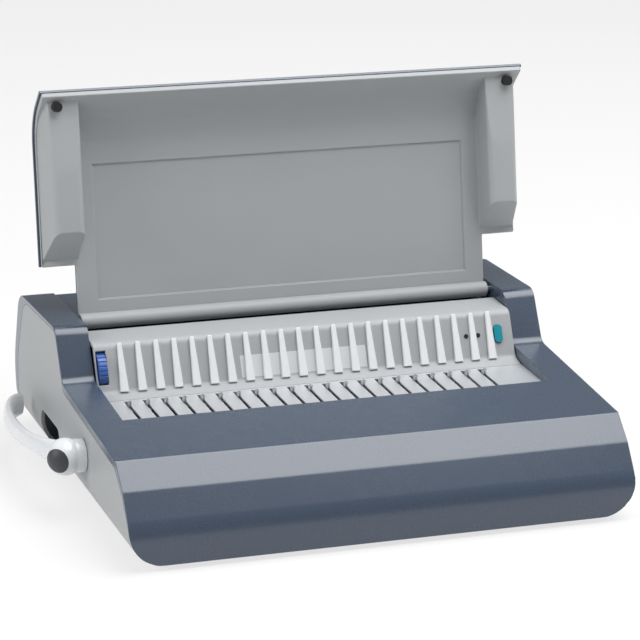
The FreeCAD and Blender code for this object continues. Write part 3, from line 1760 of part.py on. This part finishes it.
doc.recompute()
for item in doc.Objects:
    if "Invalid" in item.State or "Error" in item.State:
        raise RuntimeError(f"{item.Name} did not build")
for item in PARTS:
    if item.Shape.isNull() or not item.Shape.isValid():
        raise RuntimeError(f"{item.Label} is not a sound solid")

os.makedirs("parts", exist_ok=True)
for item in PARTS:
    item.Shape.exportStep(f"parts/{item.Label}.step")
    print(f"{item.Label}: {len(item.Shape.Solids)} solid(s), {item.Shape.Volume / 1000:.2f} cm3")
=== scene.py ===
# %% [markdown]
# # A comb binding machine
#
# This lesson dresses a finished CAD model. The machine punches sheets in a narrow throat. A row of hooks then
# opens a plastic comb, which white fingers hold, so that the sheets go on it. FreeCAD gave every piece its
# place and size, so here we only decide how surfaces look, how edges catch the light, and how it is all lit.
#
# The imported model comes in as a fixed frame: each piece sits where the design put it, in metres.

# %% Load the frame
import json
import math

import bmesh
import bpy
from mathutils import Matrix, Vector


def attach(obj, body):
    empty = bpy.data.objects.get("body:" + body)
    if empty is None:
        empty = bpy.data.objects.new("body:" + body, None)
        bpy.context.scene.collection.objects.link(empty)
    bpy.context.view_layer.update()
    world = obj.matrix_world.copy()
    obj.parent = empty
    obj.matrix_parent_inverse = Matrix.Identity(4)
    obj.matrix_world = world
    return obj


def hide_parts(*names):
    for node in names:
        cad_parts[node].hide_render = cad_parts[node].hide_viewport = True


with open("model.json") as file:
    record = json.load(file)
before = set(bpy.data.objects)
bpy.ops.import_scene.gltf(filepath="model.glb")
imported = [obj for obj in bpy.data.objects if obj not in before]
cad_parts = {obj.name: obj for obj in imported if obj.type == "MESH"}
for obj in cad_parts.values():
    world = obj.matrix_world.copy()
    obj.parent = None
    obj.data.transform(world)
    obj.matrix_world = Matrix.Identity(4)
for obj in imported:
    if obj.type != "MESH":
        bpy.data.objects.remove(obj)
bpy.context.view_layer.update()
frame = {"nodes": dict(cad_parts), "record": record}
nodes = frame["nodes"]
record = frame["record"]
slot_of = {part["node"]: part["material_slot"] for part in record["subparts"]}
body_of = {node: body for body, members in record["behaviour"]["bodies"].items() for node in members}
MM = 0.001

# %% [markdown]
# ## The camera
#
# The camera stands a little over two metres away, to the left and above, with a long lens. A long lens keeps
# the machine's parallel edges nearly parallel, which is how such product pictures are taken. Rather than
# turning the camera by angles, we give it the three directions that it should have as its own axes.

# %% Camera
CAMERA_PLACE = Vector((-0.7481, -2.0787, 0.8577))
CAMERA_RIGHT = Vector((0.9428, -0.3322, 0.0285))
CAMERA_UP = Vector((0.0805, 0.3098, 0.9475))
SENSOR_WIDTH = 36
LENS = 172.6
SHIFT = (0.0209, 0.0140)


def place_camera():
    """A long lens, aimed by its own axes, with a small shift that frames the machine as it should be."""
    data = bpy.data.cameras.new("camera")
    data.sensor_width = SENSOR_WIDTH
    data.lens = LENS
    data.shift_x, data.shift_y = SHIFT
    camera = bpy.data.objects.new("camera", data)
    bpy.context.scene.collection.objects.link(camera)
    right = CAMERA_RIGHT.normalized()
    back = right.cross(CAMERA_UP).normalized()
    up = back.cross(right)
    axes = Matrix((right, up, back)).transposed()
    camera.matrix_world = Matrix.Translation(CAMERA_PLACE) @ axes.to_4x4()
    bpy.context.scene.camera = camera
    return camera


camera = place_camera()
print("camera at", [round(value, 3) for value in camera.location])

# %% [markdown]
# ## Writing shader maths as sums
#
# A material is a small network of nodes. Wiring sums by hand hides what they mean, so one class wraps a
# socket and lets Python's own operators add the Math nodes. `1 - mask` then reads as it would on paper.
# Everything else goes through a single `node` method: type first, then its settings, then what feeds it.
# The world has a network too, so the method belongs to the network, and a material only adds to it.

# %% Shader helpers
class Wire:
    """An output socket that takes part in Python sums."""

    def __init__(self, network, socket):
        self.network = network
        self.socket = socket

    def out(self, name):
        """Another output of the node that this one comes from."""
        return Wire(self.network, self.socket.node.outputs[name])

    def sum(self, operation, first, second):
        return self.network.node("ShaderNodeMath", {"operation": operation}, {0: first, 1: second})

    def largest(self, other):
        return self.sum("MAXIMUM", self, other)

    def __add__(self, other):
        return self.sum("ADD", self, other)

    def __radd__(self, other):
        return self.sum("ADD", other, self)

    def __sub__(self, other):
        return self.sum("SUBTRACT", self, other)

    def __rsub__(self, other):
        return self.sum("SUBTRACT", other, self)

    def __mul__(self, other):
        return self.sum("MULTIPLY", self, other)

    def __rmul__(self, other):
        return self.sum("MULTIPLY", other, self)


class Network:
    """A node tree, with a method that adds any node to it."""

    def __init__(self, tree):
        self.tree = tree

    def node(self, kind, settings=None, inputs=None, output=0):
        node = self.tree.nodes.new(kind)
        for name, value in (settings or {}).items():
            setattr(node, name, value)
        for key, value in (inputs or {}).items():
            self.feed(node.inputs[key], value)
        return Wire(self, node.outputs[output])

    def feed(self, socket, value):
        """Links a wire to a socket, or sets a plain value on it."""
        if isinstance(value, Wire):
            self.tree.links.new(value.socket, socket)
        else:
            socket.default_value = value


class Finish(Network):
    """A material under construction round its principled shader."""

    def __init__(self, name):
        self.material = bpy.data.materials.new(name)
        self.material.use_nodes = True
        super().__init__(self.material.node_tree)
        self.shader = self.tree.nodes["Principled BSDF"]

    def surface(self, **values):
        """Feeds the shader: names are its sockets, with an underscore for each space."""
        for name, value in values.items():
            self.feed(self.shader.inputs[name.replace("_", " ")], value)
        return self.material

    def place(self):
        """The piece's own coordinates, in metres, which move with it."""
        return self.node("ShaderNodeTexCoord").out("Object")

    def noise(self, scale, detail=2.0, roughness=0.5, stretch=None):
        vector = self.place()
        if stretch:
            vector = self.node("ShaderNodeMapping", {}, {"Vector": vector, "Scale": stretch})
        inputs = {"Vector": vector, "Scale": scale, "Detail": detail, "Roughness": roughness}
        return self.node("ShaderNodeTexNoise", {}, inputs).out("Fac")

    def shade(self, mask, dark, light):
        """A colour that moves from dark to light as the mask goes from 0 to 1."""
        settings = {"data_type": "RGBA", "blend_type": "MIX"}
        return self.node("ShaderNodeMix", settings, {0: mask, 6: rgba(dark), 7: rgba(light)}, output=2)

    def bump(self, height, strength, depth):
        inputs = {"Height": height, "Strength": strength, "Distance": depth}
        return self.node("ShaderNodeBump", {}, inputs)


def rgba(color):
    return (*color, 1.0)


def screen(red, green, blue):
    """A colour as read off a screen, 0 to 255, turned into the linear light that shaders use."""
    def linear(value):
        value /= 255
        return value / 12.92 if value <= 0.04045 else ((value + 0.055) / 1.055) ** 2.4
    return linear(red), linear(green), linear(blue)


def scaled(color, factor):
    return tuple(channel * factor for channel in color)


print("shader helpers ready")

# %% [markdown]
# ## Moulded plastic
#
# Nearly every cover is an injection moulding. The tool that shapes it is etched with a fine grain, so the
# surface isn't a mirror: it has tiny pits about half a millimetre apart, and its gloss drifts a little where
# hands have polished it. Two noises give that: a fine one for the pits and a broad one for the drift.
#
# The blue-grey covers are smoother and glossier than the light grey panels, under a thin coat. The coat is
# hazy, so that what they reflect has soft borders.

# %% Plastic finishes
DRIFT_SCALE = 22
PIT_SCALE = 1900
PIT_GLOSS = 0.05
PIT_STRENGTH = 0.35


def plastic(name, color, gloss, grain, drift=0.06, coat=0.0, haze=0.03):
    """Moulded plastic: gloss is its roughness, grain its pits' depth in mm, haze the coat's roughness."""
    finish = Finish(name)
    broad = finish.noise(DRIFT_SCALE, 3)
    fine = finish.noise(PIT_SCALE, 2)
    tone = finish.shade(broad, scaled(color, 1 - drift), scaled(color, 1 + drift))
    roughness = broad * (2 * drift) + fine * PIT_GLOSS + (gloss - drift - PIT_GLOSS / 2)
    normal = finish.bump(fine, PIT_STRENGTH, grain * MM)
    finish.surface(Base_Color=tone, Roughness=roughness, Normal=normal)
    return finish.surface(Coat_Weight=coat, Coat_Roughness=haze)


PLASTICS = {
    "case": plastic("satin_case", screen(64, 77, 95), 0.27, 0.03, drift=0.02, coat=0.5, haze=0.22),
    "light_plastic": plastic("grained_panel", screen(168, 171, 173), 0.50, 0.12, drift=0.03),
    "dark_plastic": plastic("dark_moulding", screen(58, 61, 66), 0.46, 0.10),
    "finger": plastic("finger_white", screen(232, 233, 235), 0.38, 0.05, drift=0.02),
    "label": plastic("label_film", screen(214, 217, 220), 0.30, 0.02, drift=0.02),
    "lever": plastic("lever_silver", screen(226, 229, 232), 0.26, 0.03, drift=0.03, coat=0.3),
    "wheel": plastic("wheel_blue", screen(66, 104, 178), 0.32, 0.05),
    "button": plastic("button_teal", screen(22, 140, 156), 0.34, 0.04),
    "lens": plastic("lens_dark", screen(36, 40, 46), 0.12, 0.01, coat=0.5),
    "mains": plastic("mains_black", screen(30, 31, 33), 0.42, 0.08),
    "rubber": plastic("rubber_black", screen(24, 24, 25), 0.72, 0.25),
    "component": plastic("component_black", screen(34, 35, 38), 0.5, 0.08),
    "board": plastic("board_green", screen(26, 92, 52), 0.36, 0.03),
}
print(len(PLASTICS), "plastic finishes ready")

# %% [markdown]
# ## Metals
#
# Inside are ground, turned and plated steels. Grinding leaves fine parallel lines, so the noise is stretched
# along one axis until it looks brushed. The same lines drive colour, roughness and a shallow bump. The
# transformer's core is a stack of thin iron sheets, and there the lines are the sheets' edges.

# %% Brushed metals
ALONG_X = (1, 60, 60)
ALONG_Y = (60, 1, 60)
ALONG_Z = (60, 60, 1)
SHEET_EDGES = (240, 1, 1)
LINE_GLOSS = 0.14
CLOUD_GLOSS = 0.08


def brushed(name, color, gloss, stretch):
    """Metal with fine parallel lines: stretch is small along the lines and large across them."""
    finish = Finish(name)
    lines = finish.noise(60, 3, 0.6, stretch)
    clouds = finish.noise(30, 2)
    tone = finish.shade(lines, scaled(color, 0.86), scaled(color, 1.08))
    roughness = lines * LINE_GLOSS + clouds * CLOUD_GLOSS + (gloss - (LINE_GLOSS + CLOUD_GLOSS) / 2)
    normal = finish.bump(lines, 0.25, 0.02 * MM)
    return finish.surface(Base_Color=tone, Roughness=roughness, Normal=normal, Metallic=1.0)


METALS = {
    "bracket": brushed("zinc_sheet", screen(190, 194, 198), 0.42, ALONG_Y),
    "tool_steel": brushed("ground_steel", screen(176, 178, 181), 0.30, ALONG_X),
    "steel": brushed("turned_steel", screen(196, 198, 200), 0.26, ALONG_Z),
    "gear": brushed("cut_gear", screen(168, 168, 170), 0.36, ALONG_X),
    "bronze": brushed("sintered_bronze", screen(190, 150, 92), 0.44, ALONG_X),
    "motor": brushed("plated_can", screen(170, 172, 174), 0.34, ALONG_X),
    "screw": brushed("plated_screw", screen(188, 189, 190), 0.34, ALONG_Z),
    "core": brushed("laminated_core", screen(92, 88, 84), 0.55, SHEET_EDGES),
}
print(len(METALS), "brushed metals ready")

# %% [markdown]
# ## Two sheets with a finish of their own
#
# The comb tray is plated: it sparkles faintly but is too dull to mirror the fingers above it. The base pan
# has dark paint on it, with the slight ripple that sprayed paint dries to.

# %% Coated sheets
def plated_tray():
    """Sheet metal with a fine sparkle."""
    finish = Finish("plated_tray")
    flake = finish.noise(2600, 1)
    broad = finish.noise(18, 2)
    color = screen(208, 211, 214)
    tone = finish.shade(flake, scaled(color, 0.88), scaled(color, 1.1))
    roughness = broad * 0.1 + 0.36
    normal = finish.bump(flake, 0.2, 0.03 * MM)
    return finish.surface(Base_Color=tone, Roughness=roughness, Normal=normal, Metallic=0.6)


def painted_pan():
    """Dark paint with an orange-peel ripple."""
    finish = Finish("painted_pan")
    peel = finish.noise(420, 2)
    broad = finish.noise(16, 3)
    color = screen(62, 65, 69)
    tone = finish.shade(broad, scaled(color, 0.93), scaled(color, 1.07))
    roughness = broad * 0.12 + 0.42
    normal = finish.bump(peel, 0.3, 0.05 * MM)
    return finish.surface(Base_Color=tone, Roughness=roughness, Normal=normal)


SHEETS = {"tray": plated_tray(), "base": painted_pan()}
print(len(SHEETS), "coated sheets ready")

# %% [markdown]
# ## One finish for each slot
#
# The record names a material slot for every piece, so the three tables together dress the whole machine.

# %% Finishes by slot
FINISHES = {**PLASTICS, **METALS, **SHEETS}


def dress(piece, finish):
    piece.data.materials.clear()
    piece.data.materials.append(finish)


for name, node in nodes.items():
    dress(node, FINISHES[slot_of[name]])
print("dressed", len(nodes), "pieces in", len(FINISHES), "finishes")

# %% [markdown]
# ## Edges that catch the light
#
# No moulded or bent edge is perfectly sharp: it has a small round that shows as a thin highlight, and that
# highlight is much of what makes a surface look solid. The CAD pieces that show keep their shape, but each is
# stood in for by a copy with rounded edges. Only edges with room on both sides are picked: where two edges
# lie closer together than the round is wide, rounding both would make them cross.
#
# The bevel also marks how strong each face is, and the normals then follow the strong, original faces alone,
# so a flat face is shaded flat right up to its rounded edge.

# %% Edges to round
SHARP = math.radians(32)
ROOM = 1.6
SAME_POINT = 0.002 * MM


def has_room(edge, room):
    """True for a sharp edge that is long enough, with faces wide enough on both sides, to be rounded."""
    if len(edge.link_faces) != 2 or edge.calc_face_angle() < SHARP:
        return False
    length = edge.calc_length()
    return length > room and min(2 * face.calc_area() / length for face in edge.link_faces) > room


def marked_copy(node, width):
    """A new mesh of a node, smooth all over, with a bevel weight on each edge that is to be rounded."""
    mesh = nodes[node].data.copy()
    if "custom_normal" in mesh.attributes:
        mesh.attributes.remove(mesh.attributes["custom_normal"])
    shape = bmesh.new()
    shape.from_mesh(mesh)
    bmesh.ops.remove_doubles(shape, verts=shape.verts, dist=SAME_POINT)
    weight = shape.edges.layers.float.new("bevel_weight_edge")
    for face in shape.faces:
        face.smooth = True
    for edge in shape.edges:
        rounded = has_room(edge, ROOM * width)
        edge[weight] = 1.0 if rounded else 0.0
        edge.smooth = rounded or len(edge.link_faces) == 2 and edge.calc_face_angle() < SHARP
    shape.to_mesh(mesh)
    shape.free()
    return mesh


print("edges sharper than", round(math.degrees(SHARP)), "degrees may be rounded")

# %% [markdown]
# ## The softened copies
#
# A table gives each visible piece the width of its rounds in millimetres. Every copy moves with the body of
# the piece that it stands for, and keeps its material slot.

# %% Softened copies
ROUND_STEPS = 3


def softened(node, width):
    """A copy of a node with rounded edges, which stands for it and moves with its body."""
    piece = bpy.data.objects.new(node + "_soft", marked_copy(node, width * MM))
    bpy.context.scene.collection.objects.link(piece)
    bevel = piece.modifiers.new("rounded_edges", "BEVEL")
    bevel.width = width * MM
    bevel.segments = ROUND_STEPS
    bevel.limit_method = "WEIGHT"
    bevel.use_clamp_overlap = False
    bevel.loop_slide = False
    bevel.face_strength_mode = "FSTR_ALL"
    flat_faces = piece.modifiers.new("flat_faces", "WEIGHTED_NORMAL")
    flat_faces.use_face_influence = True
    flat_faces.keep_sharp = True
    dress(piece, FINISHES[slot_of[node]])
    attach(piece, body_of[node])
    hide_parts(node)
    return piece


EDGE_ROUNDS = {
    "front_cover": 0.5,
    "rear_cover": 0.5,
    "left_side_panel": 0.4,
    "right_side_panel": 0.4,
    "lid_shell": 0.6,
    "lid_liner": 0.8,
    "comb_back_plate": 0.5,
    "comb_fingers": 0.6,
    "waste_tray": 0.5,
    "punch_button": 0.7,
    "rubber_feet": 0.8,
    "lid_bumpers": 0.8,
    "lever_cap": 0.6,
    "mains_inlet": 0.4,
    "switch_frame": 0.4,
    "power_rocker": 0.5,
    # The hand-hold liner is a dark insert that stands for the shade in the side panel's deep recess: painted
    # shade.
    "hand_hold_liner": 0.4,
    "base_pan": 0.6,
    "hook_bar": 0.2,
}
soft_pieces = [softened(node, width) for node, width in EDGE_ROUNDS.items()]
print("softened", len(soft_pieces), "pieces")

# %% [markdown]
# ## The stage
#
# Product pictures of this kind stand on white. The floor is pale and really lit, so it keeps a soft shadow,
# but what the camera and reflections see of it is mostly plain white. Light Path tells the two apart: the
# floor's own shading is mixed with a white glow for camera, glossy and transmission rays only.

# %% Floor and world
WHITE = rgba((1, 1, 1))
PAPER = rgba((0.82, 0.82, 0.82))
GLOW_SHARE = 0.72
FLOOR_HALF = 12
WORLD_LIGHT = 0.24


def floor_paper():
    paper = Finish("floor_paper")
    paper.surface(Base_Color=PAPER, Roughness=0.9, Specular_IOR_Level=0.0)
    path = paper.node("ShaderNodeLightPath")
    mirrored = path.out("Is Glossy Ray").largest(path.out("Is Transmission Ray"))
    seen = path.out("Is Camera Ray").largest(mirrored)
    glow = paper.node("ShaderNodeEmission", {}, {"Color": WHITE, "Strength": 1.0})
    lit = Wire(paper, paper.shader.outputs[0])
    mixed = paper.node("ShaderNodeMixShader", {}, {0: seen * GLOW_SHARE, 1: lit, 2: glow})
    paper.feed(paper.tree.nodes["Material Output"].inputs["Surface"], mixed)
    return paper.material


def lay_floor(half):
    mesh = bpy.data.meshes.new("floor")
    corners = [(-half, -half, 0), (half, -half, 0), (half, half, 0), (-half, half, 0)]
    mesh.from_pydata(corners, [], [(0, 1, 2, 3)])
    mesh.materials.append(floor_paper())
    floor = bpy.data.objects.new("floor", mesh)
    bpy.context.scene.collection.objects.link(floor)


def fill_world(strength):
    """Even light from all round, seen by the camera as plain white."""
    world = bpy.data.worlds.new("studio")
    bpy.context.scene.world = world
    world.use_nodes = True
    sky = Network(world.node_tree)
    background = sky.tree.nodes["Background"]
    seen = sky.node("ShaderNodeLightPath").out("Is Camera Ray")
    sky.feed(background.inputs["Color"], WHITE)
    sky.feed(background.inputs["Strength"], seen * (1 - strength) + strength)


lay_floor(FLOOR_HALF)
fill_world(WORLD_LIGHT)
print("floor", 2 * FLOOR_HALF, "m wide under an even white world")

# %% [markdown]
# ## Lamps
#
# One wide soft box hangs overhead and a little in front: it draws the bright band along the machine's sloping
# nose. A second stands to the left for the side panel and the lever, and a weak one on the right keeps the
# cheek from going dull. Each is given by its place and size in metres and its power in watts.

# %% Soft boxes
MIDDLE = Vector((0, 0, 0.1))
SOFT_BOXES = {
    "overhead_box": ((0.45, -0.18, 1.7), 1.5, 36),
    "left_box": ((-2.1, -0.1, 1.1), 1.2, 21),
    "right_box": ((2.0, 0.2, 1.0), 1.2, 6),
}


def soft_box(name, place, size, power):
    """A square lamp that faces the middle of the machine."""
    data = bpy.data.lights.new(name, "AREA")
    data.shape = "SQUARE"
    data.size = size
    data.energy = power
    lamp = bpy.data.objects.new(name, data)
    bpy.context.scene.collection.objects.link(lamp)
    lamp.location = place
    lamp.rotation_euler = (MIDDLE - Vector(place)).to_track_quat("-Z", "Y").to_euler()


for name, (place, size, power) in SOFT_BOXES.items():
    soft_box(name, place, size, power)
print(len(SOFT_BOXES), "soft boxes lit")

# %% [markdown]
# ## The view transform
#
# The view transform stays Standard, so a colour on screen is the colour that was mixed.

# %% Finish
bpy.context.scene.view_settings.view_transform = "Standard"
